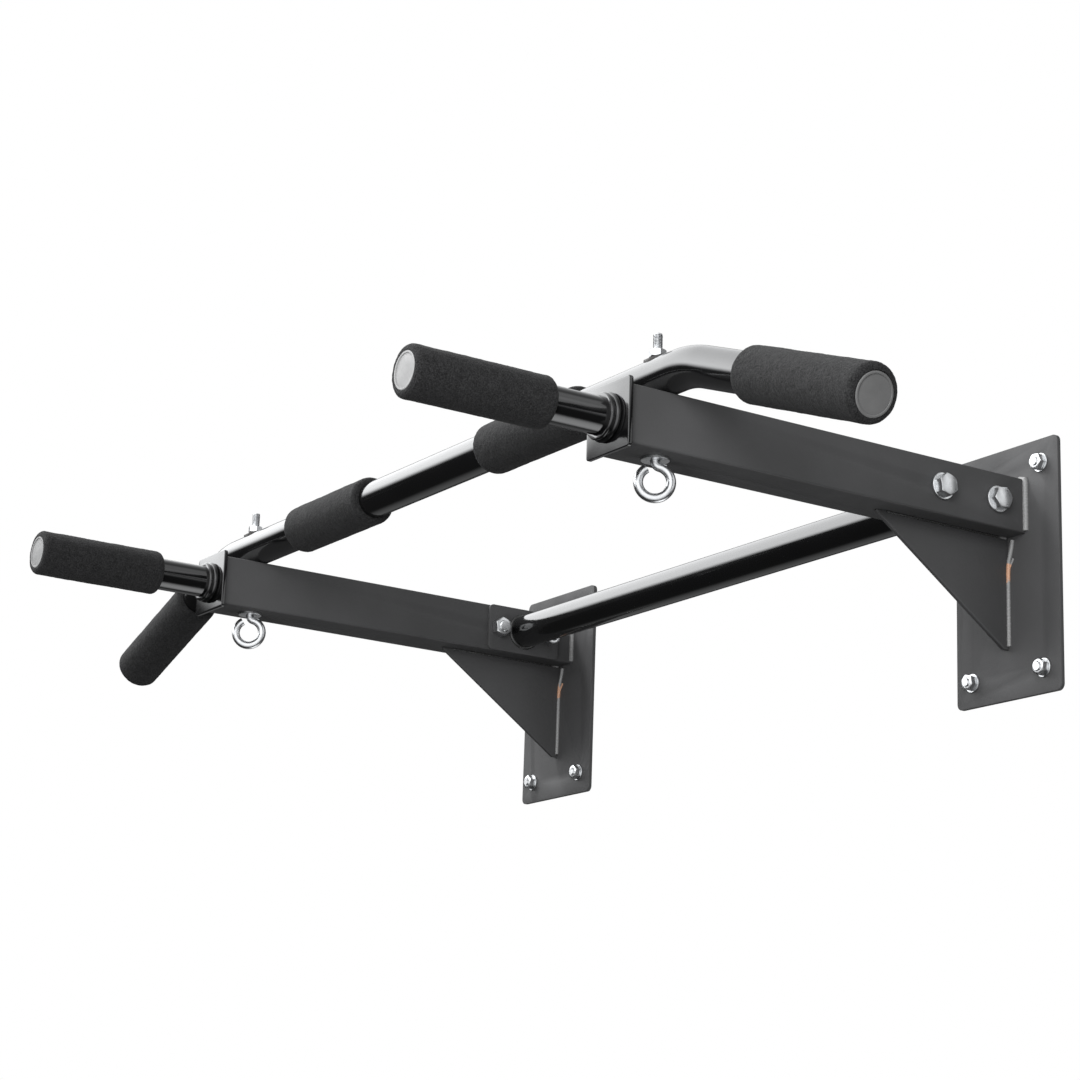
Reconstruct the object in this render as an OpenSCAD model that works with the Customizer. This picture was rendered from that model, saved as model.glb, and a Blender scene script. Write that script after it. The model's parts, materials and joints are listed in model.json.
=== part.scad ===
// Wall mounted pull up bar.
// Two welded wall brackets carry a main bar with drooping ends, two forward
// handles and a rear crossbar. Units are millimetres.
// X runs along the wall, the wall is the plane Y = 0, the bar stands out
// towards -Y, and +Z is up. The origin is the middle of the eight wall studs,
// on the wall.

/* [Wall plates] */
// width of a wall plate
plate_w = 132; // [100:1:180]
// height of a wall plate
plate_h = 230; // [180:1:320]
// thickness of a wall plate
plate_t = 4; // [3:0.5:8]
// corner radius of a wall plate
plate_r = 6; // [2:1:20]
// distance between stud centres across a plate
stud_x = 90; // [60:1:140]
// distance between stud centres up a plate
stud_z = 185; // [140:1:280]

/* [Arms] */
// distance between the middles of the two arms
arm_spacing = 720; // [500:5:900]
// side of the square arm tube
arm_side = 50; // [40:1:60]
// wall thickness of the arm tube
arm_wall = 2; // [1.5:0.5:4]
// corner radius of the arm tube
arm_r = 2; // [0.5:0.5:6]
// length of an arm from its wall plate to its open end
arm_len = 430; // [300:5:600]
// height of the arm middle above the middle of the plate
arm_z = 57; // [30:1:85]
// length of the gusset along the arm
gusset_len = 152; // [80:1:220]
// height of the gusset down the plate
gusset_h = 102; // [60:1:130]
// thickness of the gusset plate
gusset_t = 4; // [3:0.5:8]
// width of the blunt ends of the gusset
gusset_blunt = 6; // [2:1:15]
// leg length of the weld fillets
weld_leg = 4; // [2:0.5:6]

/* [Main bar] */
// outside diameter of the main bar and the crossbar
bar_d = 35; // [28:1:42]
// wall thickness of all round tubes
tube_wall = 2; // [1.5:0.5:3]
// distance of the main bar axis behind the open end of the arms
bar_setback = 44; // [30:1:80]
// half length of the straight middle of the main bar
bar_straight = 390; // [300:5:500]
// radius of the bends, on the tube axis
bend_r = 110; // [80:5:200]
// angle by which the ends droop
bend_a = 20; // [0:1:35]
// straight length of each drooping end
bar_end_len = 216; // [150:2:300]

/* [Foam grips] */
// thickness of the foam around its tube
foam_t = 6; // [4:0.5:10]
// rounding of the grip ends
grip_r = 5.5; // [2:0.5:6]
// length of the two middle grips
center_grip_len = 145; // [100:1:250]
// distance of the middle of a middle grip from the middle of the bar
center_grip_x = 180; // [100:1:240]
// length of the grips on the drooping ends
end_grip_len = 155; // [100:1:200]
// length of the grips on the forward handles
handle_grip_len = 131; // [90:1:160]

/* [Forward handles] */
// outside diameter of the handle tube
handle_d = 32; // [25:1:38]
// length from the open end of the arm to the end of the handle
handle_len = 195; // [150:1:260]
// side of the square plate that closes the arm
handle_plate_side = 60; // [52:1:80]
// thickness of that plate
handle_plate_t = 4; // [3:0.5:6]
// length of the square tongue inside the arm
insert_len = 75; // [60:1:120]
// side of the square tongue
insert_side = 45; // [38:0.5:56]
// thickness of the plastic end plugs outside the tube
plug_t = 4; // [2:0.5:8]

/* [Crossbar] */
// distance of the crossbar axis from the wall
crossbar_y = 70; // [64:1:200]
// length of a flange along the arm
flange_len = 90; // [70:1:130]
// thickness of a flange
flange_t = 4; // [3:0.5:6]
// distance between the two bolts of a flange
flange_bolt_gap = 64; // [50:1:100]

/* [Eye bolts] */
// wire diameter of the eye bolt, which is an M8
eye_wire = 8; // [6:1:12]
// radius of the eye on the middle of the wire
eye_r = 13.5; // [10:0.5:20]
// inside radius of the neck bend on the middle of the wire
eye_neck_r = 5; // [4.5:0.5:10]
// turn of both eyes about their own shanks
eye_turn = 57; // [0:1:90]
// length of thread left standing above the nut
eye_spare = 14; // [4:1:20]

/* [Hidden] */
$fn = 96;
clear = 0.5;                       // slack of the clearance holes, on radius
join_lap = 1;                      // reach of a straight tube into its bend
join_step = 0.15;                  // by which a bend is thinner than its tube
half = arm_spacing / 2;
arm_y0 = -plate_t;                 // wall end of the arms
arm_y1 = arm_y0 - arm_len;         // open end of the arms
arm_top = arm_z + arm_side / 2;
arm_bot = arm_z - arm_side / 2;
bar_y = arm_y1 + bar_setback;
bar_z = arm_top + bar_d / 2;
bend_dx = bend_r * sin(bend_a);    // run of the bend along X
bend_dz = bend_r * (1 - cos(bend_a));
handle_end = arm_y1 - handle_len;  // front face of the handle plugs
m8_af = 13;                        // M8 nut, across flats
m8_h = 6.5;
m8_washer_d = 17;
m8_washer_t = 1.6;
m8_r = 4;
m8_wall_r = 4.2;                   // stretch of a wall stud inside the wall
m12_af = 18;                       // M12 bolt head and nut, across flats
m12_head_h = 7.5;
m12_nut_h = 10;
m12_washer_d = 24;
m12_washer_t = 2.5;
m12_r = 6;
thread_gap = 0.05;                 // slack between a nut and its bolt
stud_back = 10;                    // stud length behind the wall plate
stud_spare = 1.5;                  // stud length beyond the nut
eye_washer_d = 24;
eye_washer_t = 2;
saddle_d = 23;
saddle_t = 2;
eye_drop = sqrt(pow(eye_r, 2) + 2 * eye_r * eye_neck_r);  // eye middle to shank
eye_z = arm_bot - eye_washer_t - 0.3 - eye_drop;
eye_top = bar_z + bar_d / 2 + saddle_t + m8_h + eye_spare;
eye_start = asin(eye_neck_r / (eye_r + eye_neck_r));      // where the neck joins
eye_gap = 30;                      // from straight up to the free wire end
gloss = [0.06, 0.06, 0.065];
satin = [0.2, 0.2, 0.21];
foam = [0.12, 0.12, 0.13];
plug_grey = [0.45, 0.45, 0.46];
zinc = [0.8, 0.81, 0.82];

// ---- shared shapes ----

// Draws its children on the right side, or mirrored on the left side.
module on_side(side) {
  if (side == "right") children();
  else mirror([1, 0, 0]) children();
}

// A flat rectangle with round corners, centred.
module round_rect(w, h, r) {
  union() {
    square([w - 2 * r, h], center = true);
    square([w, h - 2 * r], center = true);
    for (x = [-1, 1], y = [-1, 1])
      translate([x * (w / 2 - r), y * (h / 2 - r)]) circle(r);
  }
}

// A cylinder that starts at the origin and points towards -Y.
module rod_y(r, len) { rotate([90, 0, 0]) cylinder(r = r, h = len); }

// A cylinder that starts at the origin and points towards +X.
module rod_x(r, len) { rotate([0, 90, 0]) cylinder(r = r, h = len); }

// A hexagonal prism by its size across flats, standing on the origin.
module hex(af, h) { cylinder(r = af / 2 / cos(30), h = h, $fn = 6); }

// A bolt head or a nut with its corners chamfered all round by a cone.
module hex_head(af, h) {
  intersection() {
    hex(af, h);
    union() {
      cylinder(r = af, h = h - 0.12 * af);
      translate([0, 0, h - 0.12 * af])
        cylinder(r1 = af * 0.62, r2 = af * 0.48, h = 0.12 * af);
    }
  }
}

module nut(af, h, r) {
  difference() {
    hex_head(af, h);
    translate([0, 0, -1]) cylinder(r = r + thread_gap, h = h + 2);
  }
}

module washer(d, t, r) {
  difference() {
    cylinder(d = d, h = t);
    translate([0, 0, -1]) cylinder(r = r + 0.25, h = t + 2);
  }
}

// A foam sleeve from z = 0 to z = len with round ends, around a tube.
module grip(len, tube_d) {
  r = tube_d / 2 + foam_t;
  rotate_extrude() difference() {
    union() {
      square([r - grip_r, len]);
      translate([0, grip_r]) square([r, len - 2 * grip_r]);
      for (z = [grip_r, len - grip_r]) translate([r - grip_r, z]) circle(grip_r);
    }
    translate([-r, -1]) square([r + tube_d / 2, len + 2]);
  }
}

// A plastic plug: a disc over the tube's mouth and a stem inside the tube.
module end_plug(tube_d) {
  union() {
    cylinder(d = tube_d, h = plug_t);
    translate([0, 0, -18]) cylinder(d = tube_d - 2 * tube_wall, h = 18.5);
  }
}

// A right-angled fillet bead along +X, its corner on the axis, filling +Y, +Z.
module bead(len, leg) {
  rotate([90, 0, 90]) linear_extrude(height = len)
    polygon([[0, 0], [leg, 0], [0, leg]]);
}

// ---- wall brackets ----

// The places of the four studs of one plate.
module at_studs() {
  for (x = [-1, 1], z = [-1, 1])
    translate([half + x * stud_x / 2, 0, z * stud_z / 2]) children();
}

module wall_plate(side) {
  color(satin) on_side(side) difference() {
    translate([half, 0, 0]) rotate([90, 0, 0])
      linear_extrude(height = plate_t) round_rect(plate_w, plate_h, plate_r);
    translate([0, 1, 0]) at_studs() rod_y(m8_r + clear, plate_t + 2);
  }
}

// The places of the two crossbar bolts, at the outer face of the arm.
module at_flange_bolts(x) {
  for (s = [-1, 1])
    translate([x, -crossbar_y + s * flange_bolt_gap / 2, arm_z]) children();
}

module arm(side) {
  inner = arm_side - 2 * arm_wall;
  color(satin) on_side(side) difference() {
    translate([half, arm_y0, arm_z]) rotate([90, 0, 0])
      linear_extrude(height = arm_len) difference() {
        round_rect(arm_side, arm_side, arm_r);
        square(inner, center = true);
      }
    translate([half, bar_y, arm_bot - 1])
      cylinder(r = m8_r + clear, h = arm_side + 2);
    at_flange_bolts(half - arm_side) rod_x(m12_r + clear, 2 * arm_side);
  }
}

module gusset(side) {
  color(satin) on_side(side)
    translate([half - gusset_t / 2, arm_y0, arm_bot])
      rotate([90, 0, 90]) linear_extrude(height = gusset_t)
        polygon([[0, 0], [-gusset_len, 0], [-gusset_len, -2],
                 [-gusset_blunt, -gusset_h], [0, -gusset_h]]);
}

// Fillets between arm and plate, gusset and plate, and gusset and arm.
module bracket_welds(side) {
  g = gusset_t / 2;
  small = weld_leg * 0.75;
  seam = gusset_h - 12;
  color(satin) on_side(side) translate([half, arm_y0, 0]) union() {
    for (s = [-1, 1]) mirror([s < 0 ? 1 : 0, 0, 0]) {
      // arm sides, standing upright against the plate
      translate([arm_side / 2, 0, arm_bot + 1]) rotate([0, 0, -90])
        linear_extrude(height = arm_side - 2)
          polygon([[0, 0], [weld_leg, 0], [0, weld_leg]]);
      // gusset to plate
      translate([g, 0, arm_bot - small - 1 - seam]) rotate([0, 0, -90])
        linear_extrude(height = seam)
          polygon([[0, 0], [small, 0], [0, small]]);
      // gusset to arm
      translate([g, -small - 1, arm_bot]) rotate([90, 0, 0])
        linear_extrude(height = gusset_len - 12)
          polygon([[0, 0], [small, 0], [0, -small]]);
    }
    // over the top of the arm
    translate([-arm_side / 2 + 1, 0, arm_top]) mirror([0, 1, 0])
      bead(arm_side - 2, weld_leg);
  }
}

module wall_studs(side) {
  reach = plate_t + m8_washer_t + m8_h + stud_spare;
  color(zinc) on_side(side) at_studs() union() {
    translate([0, stud_back, 0]) rod_y(m8_wall_r, stud_back);
    translate([0, stud_back / 2, 0]) rod_y(m8_r, stud_back / 2 + reach);
  }
}

module wall_washers(side) {
  color(zinc) on_side(side) at_studs() translate([0, -plate_t, 0])
    rotate([90, 0, 0]) washer(m8_washer_d, m8_washer_t, m8_r);
}

module wall_nuts(side) {
  color(zinc) on_side(side) at_studs()
    translate([0, -plate_t - m8_washer_t, 0]) rotate([90, 0, 0])
      nut(m8_af, m8_h, m8_r);
}

// ---- main bar ----

// The tube's section. The bends are drawn a hair thinner than the straight
// stretches, which reach join_lap into them.
module bar_ring(thinner) {
  difference() {
    circle(bar_d / 2 - thinner);
    circle(bar_d / 2 - tube_wall + thinner);
  }
}

// Moves +Z onto the axis of the right drooping end, where its bend stops.
module at_bar_end() {
  translate([bar_straight + bend_dx, 0, -bend_dz])
    rotate([0, 90 + bend_a, 0]) children();
}

module main_bar() {
  reach = bar_straight + join_lap;
  color(gloss) translate([0, bar_y, bar_z]) union() {
    difference() {
      translate([-reach, 0, 0]) rotate([0, 90, 0])
        linear_extrude(height = 2 * reach) bar_ring(0);
      for (x = [-half, half])
        translate([x, 0, -bar_d]) cylinder(r = m8_r + clear, h = 2 * bar_d);
    }
    for (m = [0, 1]) mirror([m, 0, 0]) {
      translate([bar_straight, 0, -bend_r]) rotate([90, 0, 0])
        rotate_extrude(angle = bend_a, start = 90 - bend_a)
          translate([bend_r, 0]) bar_ring(join_step);
      at_bar_end() translate([0, 0, -join_lap])
        linear_extrude(height = bar_end_len + join_lap) bar_ring(0);
    }
  }
}

module bar_end_plug(side) {
  color(plug_grey) on_side(side) translate([0, bar_y, bar_z]) at_bar_end()
    translate([0, 0, bar_end_len]) end_plug(bar_d);
}

module center_grip(side) {
  color(foam) on_side(side)
    translate([center_grip_x - center_grip_len / 2, bar_y, bar_z])
      rotate([0, 90, 0]) grip(center_grip_len, bar_d);
}

module end_grip(side) {
  color(foam) on_side(side) translate([0, bar_y, bar_z]) at_bar_end()
    translate([0, 0, bar_end_len + plug_t - end_grip_len])
      grip(end_grip_len, bar_d);
}

// ---- forward handles ----

module handle_plate(side) {
  color(gloss) on_side(side) translate([half, arm_y1, arm_z])
    rotate([90, 0, 0]) linear_extrude(height = handle_plate_t)
      round_rect(handle_plate_side, handle_plate_side, 3);
}

module handle_insert(side) {
  color(gloss) on_side(side) difference() {
    translate([half, arm_y1 + insert_len, arm_z]) rotate([90, 0, 0])
      linear_extrude(height = insert_len) difference() {
        square(insert_side, center = true);
        square(insert_side - 2 * arm_wall, center = true);
      }
    translate([half, bar_y, arm_bot - 1])
      cylinder(r = m8_r + clear, h = arm_side + 2);
  }
}

module handle_tube(side) {
  len = handle_len - handle_plate_t - plug_t;
  color(gloss) on_side(side)
    translate([half, arm_y1 - handle_plate_t, arm_z]) difference() {
      rod_y(handle_d / 2, len);
      translate([0, 1, 0]) rod_y(handle_d / 2 - tube_wall, len + 2);
    }
}

// Two round beads around the foot of the handle tube, on a short sleeve.
module handle_collar(side) {
  r = handle_d / 2;
  color(gloss) on_side(side)
    translate([half, arm_y1 - handle_plate_t, arm_z]) rotate([90, 0, 0])
      rotate_extrude() difference() {
        union() {
          square([r + 3, 10]);
          translate([r + 2.5, 2.5]) circle(2.5);
          translate([r + 1.5, 7.5]) circle(2.5);
        }
        translate([-r, -1]) square([2 * r, 12]);
      }
}

module handle_plug(side) {
  color(plug_grey) on_side(side)
    translate([half, handle_end + plug_t, arm_z]) rotate([90, 0, 0])
      end_plug(handle_d);
}

module handle_grip(side) {
  color(foam) on_side(side)
    translate([half, handle_end + handle_grip_len, arm_z])
      rotate([90, 0, 0]) grip(handle_grip_len, handle_d);
}

// ---- crossbar ----

module crossbar_tube() {
  reach = half - arm_side / 2 - flange_t;
  color(gloss) translate([-reach, -crossbar_y, arm_z]) difference() {
    rod_x(bar_d / 2, 2 * reach);
    translate([-1, 0, 0]) rod_x(bar_d / 2 - tube_wall, 2 * reach + 2);
  }
}

module crossbar_flange(side) {
  color(satin) on_side(side) difference() {
    translate([half - arm_side / 2 - flange_t, -crossbar_y, arm_z])
      rotate([90, 0, 90]) linear_extrude(height = flange_t)
        round_rect(flange_len, arm_side, 5);
    at_flange_bolts(half - arm_side) rod_x(m12_r + clear, arm_side);
  }
}

// A fillet ring where the crossbar meets its flange.
module crossbar_welds(side) {
  leg = 3;
  color(gloss) on_side(side)
    translate([half - arm_side / 2 - flange_t, -crossbar_y, arm_z])
      rotate([0, -90, 0]) rotate_extrude()
        polygon([[bar_d / 2, 0], [bar_d / 2 + leg, 0], [bar_d / 2, leg]]);
}

module crossbar_bolts(side) {
  shank = m12_washer_t + arm_side + flange_t + m12_nut_h + 3;
  color(zinc) on_side(side)
    at_flange_bolts(half + arm_side / 2 + m12_washer_t) union() {
      rotate([0, 90, 0]) hex_head(m12_af, m12_head_h);
      translate([-shank, 0, 0]) rod_x(m12_r, shank + 1);
    }
}

module crossbar_washers(side) {
  color(zinc) on_side(side) at_flange_bolts(half + arm_side / 2)
    rotate([0, 90, 0]) washer(m12_washer_d, m12_washer_t, m12_r);
}

module crossbar_nuts(side) {
  color(zinc) on_side(side) at_flange_bolts(half - arm_side / 2 - flange_t)
    rotate([0, -90, 0]) nut(m12_af, m12_nut_h, m12_r);
}

// ---- eye bolts ----

// Moves to the eye bolt's axis at height z. Both eyes are turned the same way.
module at_eye(side, z) {
  translate([side == "right" ? half : -half, bar_y, z]) children();
}

// A bent wire eye that closes beside its own neck, and a straight shank.
module eye_bolt(side) {
  r = eye_wire / 2;
  color(zinc) at_eye(side, eye_z) rotate([0, 0, eye_turn])
    union() {
      rotate([90, 0, 0]) {
        // loop from its free end round to a hair beyond the neck bend
        rotate_extrude(angle = 361 - eye_gap - eye_start, start = 90 + eye_gap)
          translate([eye_r, 0]) circle(r);
        // neck bend between the loop and the shank
        translate([eye_neck_r, eye_drop])
          rotate_extrude(angle = 90 - eye_start, start = 180)
            translate([eye_neck_r, 0]) circle(r - 2 * join_step);
      }
      translate([0, 0, eye_drop - 0.3])
        cylinder(r = r, h = eye_top - eye_z - eye_drop + 0.3);
    }
}

module eye_washer(side) {
  color(zinc) at_eye(side, arm_bot - eye_washer_t)
    washer(eye_washer_d, eye_washer_t, m8_r);
}

// A curved washer that sits on the round top of the bar.
module saddle_washer(side) {
  color(gloss) at_eye(side, bar_z) intersection() {
    difference() {
      translate([-saddle_d, 0, 0]) rod_x(bar_d / 2 + saddle_t, 2 * saddle_d);
      translate([-2 * saddle_d, 0, 0]) rod_x(bar_d / 2, 4 * saddle_d);
      cylinder(r = m8_r + clear, h = bar_d);
    }
    cylinder(d = saddle_d, h = bar_d);
  }
}

module eye_nut(side) {
  color(zinc) at_eye(side, bar_z + bar_d / 2 + saddle_t)
    rotate([0, 0, eye_turn]) nut(m8_af, m8_h, m8_r);
}

wall_plate("left");  // wall_plate_left
wall_plate("right");  // wall_plate_right
arm("left");  // arm_left
arm("right");  // arm_right
gusset("left");  // gusset_left
gusset("right");  // gusset_right
bracket_welds("left");  // bracket_welds_left
bracket_welds("right");  // bracket_welds_right
wall_studs("left");  // wall_studs_left
wall_studs("right");  // wall_studs_right
wall_washers("left");  // wall_washers_left
wall_washers("right");  // wall_washers_right
wall_nuts("left");  // wall_nuts_left
wall_nuts("right");  // wall_nuts_right
main_bar();
bar_end_plug("left");  // bar_end_plug_left
bar_end_plug("right");  // bar_end_plug_right
center_grip("left");  // center_grip_left
center_grip("right");  // center_grip_right
end_grip("left");  // end_grip_left
end_grip("right");  // end_grip_right
handle_tube("left");  // handle_tube_left
handle_tube("right");  // handle_tube_right
handle_collar("left");  // handle_collar_left
handle_collar("right");  // handle_collar_right
handle_plate("left");  // handle_plate_left
handle_plate("right");  // handle_plate_right
handle_insert("left");  // handle_insert_left
handle_insert("right");  // handle_insert_right
handle_grip("left");  // handle_grip_left
handle_grip("right");  // handle_grip_right
handle_plug("left");  // handle_plug_left
handle_plug("right");  // handle_plug_right
crossbar_tube();
crossbar_flange("left");  // crossbar_flange_left
crossbar_flange("right");  // crossbar_flange_right
crossbar_welds("left");  // crossbar_welds_left
crossbar_welds("right");  // crossbar_welds_right
crossbar_bolts("left");  // crossbar_bolts_left
crossbar_bolts("right");  // crossbar_bolts_right
crossbar_washers("left");  // crossbar_washers_left
crossbar_washers("right");  // crossbar_washers_right
crossbar_nuts("left");  // crossbar_nuts_left
crossbar_nuts("right");  // crossbar_nuts_right
eye_bolt("left");  // eye_bolt_left
eye_bolt("right");  // eye_bolt_right
eye_washer("left");  // eye_washer_left
eye_washer("right");  // eye_washer_right
saddle_washer("left");  // saddle_washer_left
saddle_washer("right");  // saddle_washer_right
eye_nut("left");  // eye_nut_left
eye_nut("right");  // eye_nut_right
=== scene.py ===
# %% [markdown]
# # A wall mounted pull up bar
#
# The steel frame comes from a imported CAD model: two wall brackets, a main bar with drooping ends,
# two forward handles, a rear crossbar and two eye bolts. This lesson gives it its looks: smooth
# tubes, plates with softened edges, rippled welds, real threads, foam with a live surface, and one
# procedural material for each finish. Lengths are metres. X runs along the wall, the wall is the
# plane Y = 0, the bar stands out towards -Y, and Z is up.

# %% Load the frame
import json
import math
from contextlib import contextmanager

import bmesh
import bpy
from mathutils import Matrix, Quaternion, Vector


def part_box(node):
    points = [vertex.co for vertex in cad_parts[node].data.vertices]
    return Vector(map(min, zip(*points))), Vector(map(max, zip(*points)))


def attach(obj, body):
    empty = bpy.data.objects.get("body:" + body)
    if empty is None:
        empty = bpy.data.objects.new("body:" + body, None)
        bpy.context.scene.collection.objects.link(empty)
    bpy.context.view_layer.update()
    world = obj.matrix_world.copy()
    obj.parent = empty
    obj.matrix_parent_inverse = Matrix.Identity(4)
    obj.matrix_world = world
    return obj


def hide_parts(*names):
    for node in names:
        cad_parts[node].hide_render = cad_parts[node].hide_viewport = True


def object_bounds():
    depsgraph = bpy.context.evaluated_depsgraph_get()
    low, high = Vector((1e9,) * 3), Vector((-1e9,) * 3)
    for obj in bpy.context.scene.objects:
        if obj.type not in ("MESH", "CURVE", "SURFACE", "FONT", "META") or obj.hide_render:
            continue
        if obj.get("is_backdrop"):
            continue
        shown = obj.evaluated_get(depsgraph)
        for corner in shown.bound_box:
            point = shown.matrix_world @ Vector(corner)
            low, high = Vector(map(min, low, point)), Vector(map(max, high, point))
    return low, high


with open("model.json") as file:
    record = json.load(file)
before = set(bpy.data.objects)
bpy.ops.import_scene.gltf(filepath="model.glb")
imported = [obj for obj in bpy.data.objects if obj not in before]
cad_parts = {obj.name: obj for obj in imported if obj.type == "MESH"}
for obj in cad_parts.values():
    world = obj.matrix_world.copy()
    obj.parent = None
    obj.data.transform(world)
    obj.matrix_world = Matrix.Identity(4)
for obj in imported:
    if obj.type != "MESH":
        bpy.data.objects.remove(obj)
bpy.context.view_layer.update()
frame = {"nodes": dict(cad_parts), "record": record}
SIDES = {"left": -1, "right": 1}

# %% [markdown]
# ## The camera
#
# A camera is easiest to place as a person would: choose the point to look at, then say from which
# side, how far below level and how far away. The lens is a mild telephoto, so the two brackets
# keep nearly their true proportions. A small roll tips the view as a hand-held camera would.

# %% Place the camera
look_at = Vector((0.028, -0.285, 0.050))
azimuth, elevation, roll = math.radians(57.2), math.radians(-15.0), math.radians(2.0)
distance = 2.463
away = Vector((
    math.sin(azimuth) * math.cos(elevation),
    -math.cos(azimuth) * math.cos(elevation),
    math.sin(elevation),
))
camera = bpy.data.objects.new("camera", bpy.data.cameras.new("camera"))
bpy.context.scene.collection.objects.link(camera)
camera.data.lens = 87.2
camera.data.sensor_width = 36
camera.location = look_at + away * distance
camera.rotation_mode = "QUATERNION"
camera.rotation_quaternion = (-away).to_track_quat("-Z", "Y") @ Quaternion((0, 0, 1), roll)
bpy.context.scene.camera = camera
print("camera at", [round(x, 3) for x in camera.location])

# %% [markdown]
# ## Node trees as Python expressions
#
# Shaders and Geometry Nodes are both node trees, and both get hard to read when every link is
# typed out. One small class wraps a socket. Arithmetic on it adds Math nodes, and `add` makes any
# other node from its type, its settings and the values or links of its sockets.

# %% A wrapper for sockets
class Wire:
    """An output socket in a node tree. + - * on it add Math nodes."""

    def __init__(self, tree, socket=None):
        self.tree, self.socket = tree, socket

    def add(self, kind, settings=None, sockets=None, out=0):
        node = self.tree.nodes.new(kind)
        for name, value in (settings or {}).items():
            if name == "stops":
                ramp = node.color_ramp.elements
                while len(ramp) < len(value):
                    ramp.new(0.5)
                for element, (place, shade) in zip(ramp, value):
                    element.position = place
                    grey = isinstance(shade, float)
                    element.color = (shade, shade, shade, 1) if grey else (*shade, 1)
            else:
                setattr(node, name, value)
        for name, value in (sockets or {}).items():
            if isinstance(value, Wire):
                self.tree.links.new(value.socket, node.inputs[name])
            elif isinstance(value, (tuple, list)) and isinstance(value[0], Wire):
                for one in value:
                    self.tree.links.new(one.socket, node.inputs[name])
            else:
                node.inputs[name].default_value = value
        return Wire(self.tree, node.outputs[out])

    def math(self, operation, a, b=0.0):
        return self.add("ShaderNodeMath", {"operation": operation}, {0: a, 1: b})

    def __add__(self, other):
        return self.math("ADD", self, other)

    def __sub__(self, other):
        return self.math("SUBTRACT", self, other)

    def __rsub__(self, other):
        return self.math("SUBTRACT", other, self)

    def __mul__(self, other):
        return self.math("MULTIPLY", self, other)

    __radd__, __rmul__ = __add__, __mul__


# %% [markdown]
# ## Finishes
#
# Every finish is a Principled shader whose colour, roughness and bump change over the surface.
# Patterns read Object coordinates in metres, so a scale of 900 means grains of about a
# millimetre. What is the same everywhere is set straight on the shader's own socket.

# %% A helper that starts a material
def finish_of(name, color, roughness, bump, bump_height, **constants):
    """Makes a material. color, roughness and bump are functions of (wire, coordinates)."""
    material = bpy.data.materials.new(name)
    material.use_nodes = True
    tree = material.node_tree
    shader = tree.nodes["Principled BSDF"]
    wire = Wire(tree)
    where = wire.add("ShaderNodeTexCoord", out="Object")
    for socket, value in constants.items():
        shader.inputs[socket.replace("_", " ")].default_value = value
    tree.links.new(color(wire, where).socket, shader.inputs["Base Color"])
    tree.links.new(roughness(wire, where).socket, shader.inputs["Roughness"])
    relief = wire.add("ShaderNodeBump", None,
                      {"Strength": 1.0, "Distance": bump_height, "Height": bump(wire, where)})
    tree.links.new(relief.socket, shader.inputs["Normal"])
    return material


def noise(wire, where, scale, detail=2.0, roughness=0.5):
    """Perlin noise between about 0.3 and 0.7, at so many waves a metre."""
    return wire.add("ShaderNodeTexNoise", None,
                    {"Vector": where, "Scale": scale, "Detail": detail, "Roughness": roughness})


def shades(wire, value, low, high, start=0.3, end=0.7):
    """A colour or a number that runs from low to high as value goes from start to end."""
    return wire.add("ShaderNodeValToRGB", {"stops": [(start, low), (end, high)]}, {"Fac": value})


print("finish helpers are ready")

# %% [markdown]
# ### Satin powder coat
#
# The brackets are powder coated. Powder melts into a skin that is never quite flat: a fine grain
# on top of a slow orange peel. The grain goes into the bump, and a slow noise shifts the colour
# and the roughness a little, as on a real batch.

# %% Satin powder coat
def coat_grain(wire, where):
    peel = noise(wire, where, 260.0, 1.0)
    grain = noise(wire, where, 1500.0, 2.0, 0.6)
    return peel * 0.7 + grain * 0.3


satin_coat = finish_of(
    "satin_coat_finish",
    color=lambda w, p: shades(w, noise(w, p, 9.0, 3.0),
                              (0.038, 0.038, 0.0385), (0.047, 0.047, 0.048)),
    roughness=lambda w, p: shades(w, noise(w, p, 34.0, 3.0), 0.52, 0.64),
    bump=coat_grain, bump_height=0.00012, Specular_IOR_Level=0.30)
print(satin_coat.name, "nodes:", len(satin_coat.node_tree.nodes))

# %% [markdown]
# ### Gloss paint
#
# The round tubes carry a wet-looking black gloss. It is nearly a mirror, so its looks come from
# what it reflects. A very slow, very shallow bump makes the long reflections waver slightly, which
# tells the eye that this is paint on drawn steel and not a perfect cylinder.

# %% Gloss paint
gloss_coat = finish_of(
    "gloss_coat_finish",
    color=lambda w, p: shades(w, noise(w, p, 14.0, 2.0),
                              (0.0020, 0.0020, 0.0021), (0.0030, 0.0030, 0.0032)),
    roughness=lambda w, p: shades(w, noise(w, p, 55.0, 3.0), 0.10, 0.17),
    bump=lambda w, p: noise(w, p, 75.0, 1.0) * 0.8 + noise(w, p, 900.0, 1.0) * 0.2,
    bump_height=0.00008, Specular_IOR_Level=0.75, Coat_Weight=0.5, Coat_Roughness=0.05)
print(gloss_coat.name, "nodes:", len(gloss_coat.node_tree.nodes))

# %% [markdown]
# ### Bright zinc plate
#
# Screws, nuts and washers are zinc plated: a pale metal, bright where the die pressed it and a
# little cloudy elsewhere. Two noises set the clouds, and a fine grain breaks up the highlights.

# %% Zinc plate
zinc = finish_of(
    "zinc_finish",
    color=lambda w, p: shades(w, noise(w, p, 240.0, 3.0), (0.73, 0.74, 0.75), (0.82, 0.83, 0.84)),
    roughness=lambda w, p: shades(w, noise(w, p, 420.0, 4.0), 0.26, 0.34),
    bump=lambda w, p: noise(w, p, 1900.0, 2.0) * 0.6 + noise(w, p, 300.0, 1.0) * 0.4,
    bump_height=0.00006, Metallic=1.0)
print(zinc.name, "nodes:", len(zinc.node_tree.nodes))

# %% [markdown]
# ### Foam
#
# The grips are closed-cell foam. Its skin is a crust of burst cells, with paler flecks where cells
# catch the light. Two Voronoi patterns and a noise give the cells to the bump, and two other
# noises give the flecks to the colour.

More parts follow.
